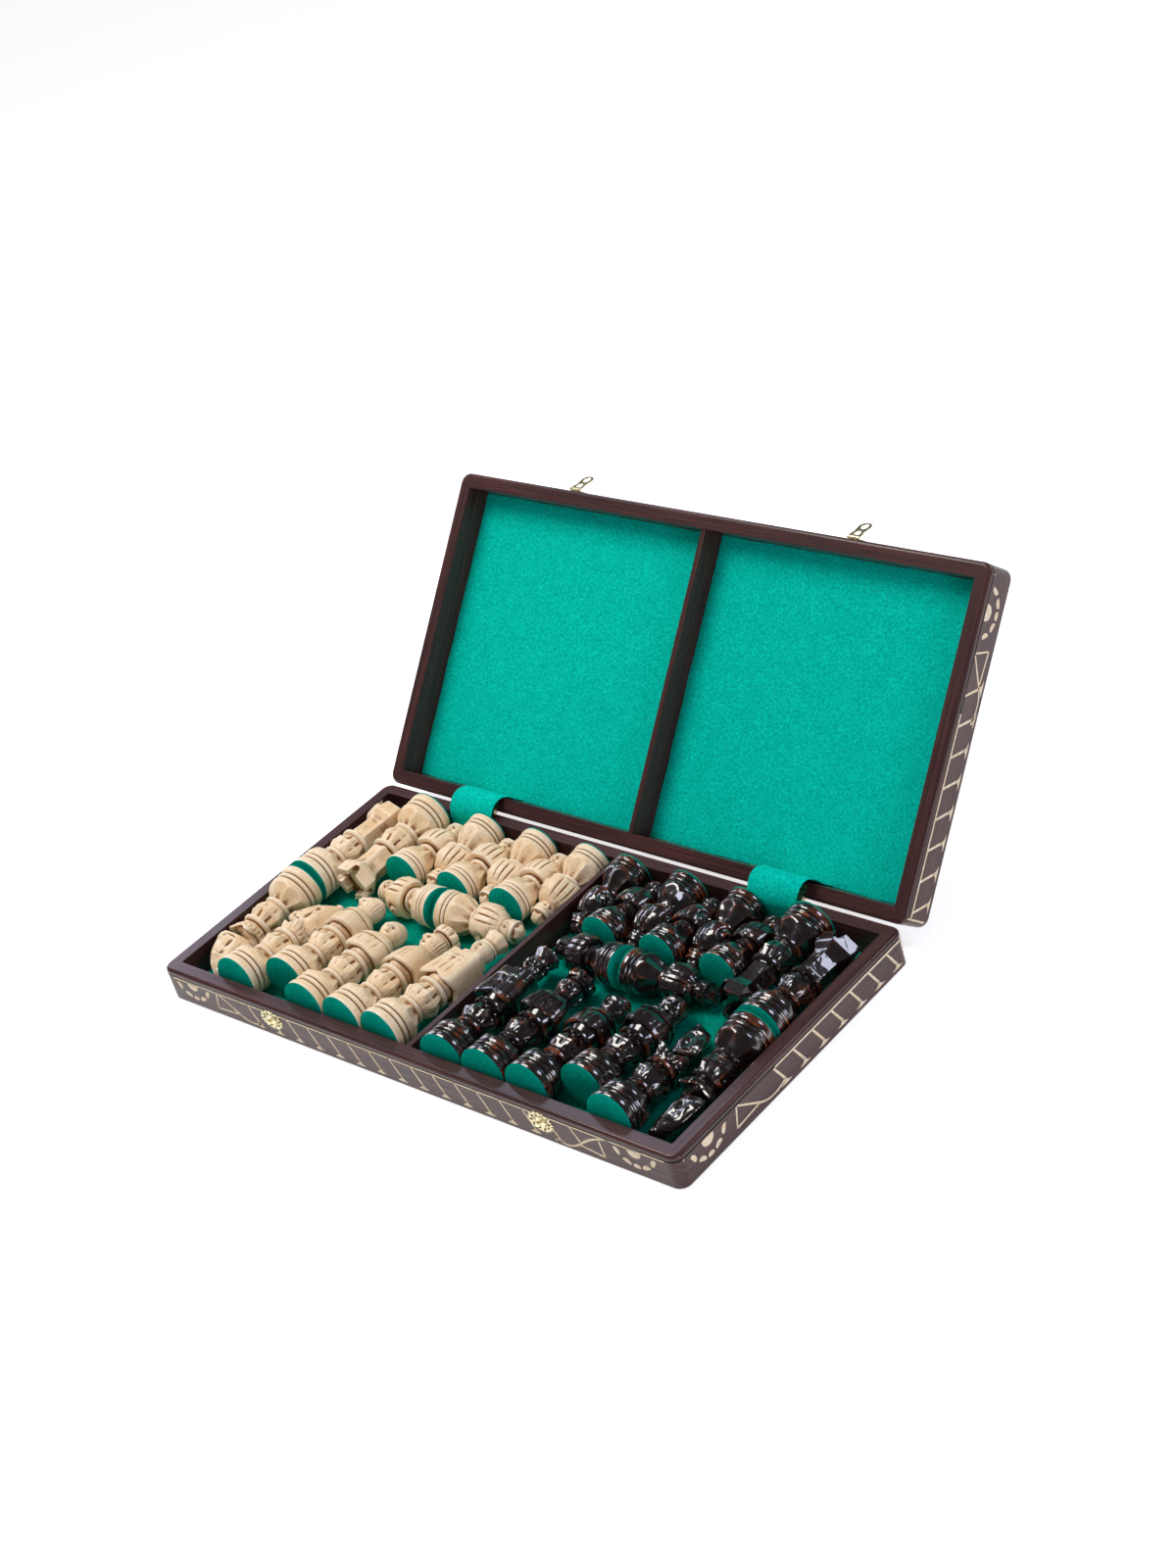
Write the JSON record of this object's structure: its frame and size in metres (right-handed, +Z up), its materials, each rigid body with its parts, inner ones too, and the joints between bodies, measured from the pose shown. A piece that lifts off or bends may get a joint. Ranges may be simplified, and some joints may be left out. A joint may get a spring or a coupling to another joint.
{
  "type": "chess box with hinged lid",
  "caption": "Folding wooden chess box, open on its hinged lid, felt lined, with brass hasps and carved chessmen lying in both compartments.",
  "frame": {"origin": "centre of the base tray's underside, on the surface that it stands on", "axes": "+X to the right along the front, +Y to the back where the hinges are, +Z up"},
  "size_m": [0.6, 0.5307, 0.2594],
  "materials": {
    "stained_wood": "dark brown stained hardwood under glossy lacquer, carved lines in bare wood outside",
    "board_panel": "veneered playing board under satin lacquer",
    "light_wood": "pale hornbeam, turned and knife carved, satin",
    "dark_wood": "hornbeam stained near black, glossy, worn red-brown on the carved edges",
    "green_felt": "pressed green felt",
    "brass": "pressed brass",
    "steel": "plain drawn steel pin"
  },
  "bodies": {
    "base": {"base_front_wall": "stained_wood", "base_back_wall": "stained_wood", "base_left_wall": "stained_wood", "base_right_wall": "stained_wood", "base_panel": "board_panel", "base_divider": "stained_wood", "base_felts": "green_felt", "keepers": "brass", "base_screws_and_nails": "brass", "hinge_base_leaves": "brass", "hinge_pins": "steel", "hinge_cover_left": "green_felt", "hinge_cover_right": "green_felt", "light_king": "light_wood", "light_queen": "light_wood", "light_bishop_1": "light_wood", "light_bishop_2": "light_wood", "light_knight_1": "light_wood", "light_knight_2": "light_wood", "light_rook_1": "light_wood", "light_rook_2": "light_wood", "light_pawn_1": "light_wood", "light_pawn_2": "light_wood", "light_pawn_3": "light_wood", "light_pawn_4": "light_wood", "light_pawn_5": "light_wood", "light_pawn_6": "light_wood", "light_pawn_7": "light_wood", "light_pawn_8": "light_wood", "dark_king": "dark_wood", "dark_queen": "dark_wood", "dark_bishop_1": "dark_wood", "dark_bishop_2": "dark_wood", "dark_knight_1": "dark_wood", "dark_knight_2": "dark_wood", "dark_rook_1": "dark_wood", "dark_rook_2": "dark_wood", "dark_pawn_1": "dark_wood", "dark_pawn_2": "dark_wood", "dark_pawn_3": "dark_wood", "dark_pawn_4": "dark_wood", "dark_pawn_5": "dark_wood", "dark_pawn_6": "dark_wood", "dark_pawn_7": "dark_wood", "dark_pawn_8": "dark_wood", "chessman_felt_pads": "green_felt"},
    "lid": {"lid_front_wall": "stained_wood", "lid_back_wall": "stained_wood", "lid_left_wall": "stained_wood", "lid_right_wall": "stained_wood", "lid_panel": "board_panel", "lid_divider": "stained_wood", "lid_felts": "green_felt", "hasp_plates": "brass", "hasp_pins": "steel", "lid_screws_and_nails": "brass", "hinge_lid_leaves": "brass"},
    "hasp_left": {"hasp_left": "brass"},
    "hasp_right": {"hasp_right": "brass"}
  },
  "joints": [
    {"name": "lid_hinge", "type": "hinge", "parent": "base", "child": "lid", "pos_m": [0, 0.1506, 0.0334], "axis": [-1, 0, 0], "range_deg": [-131.5, 48.5], "deforming": ["hinge_cover_left", "hinge_cover_right"]},
    {"name": "hasp_left_hinge", "type": "hinge", "parent": "lid", "child": "hasp_left", "pos_m": [-0.1581, 0.35315, 0.25796], "axis": [-1, 0, 0], "range_deg": [-138.5, 33.5]},
    {"name": "hasp_right_hinge", "type": "hinge", "parent": "lid", "child": "hasp_right", "pos_m": [0.1581, 0.35315, 0.25796], "axis": [-1, 0, 0], "range_deg": [-138.5, 33.5]}
  ]
}
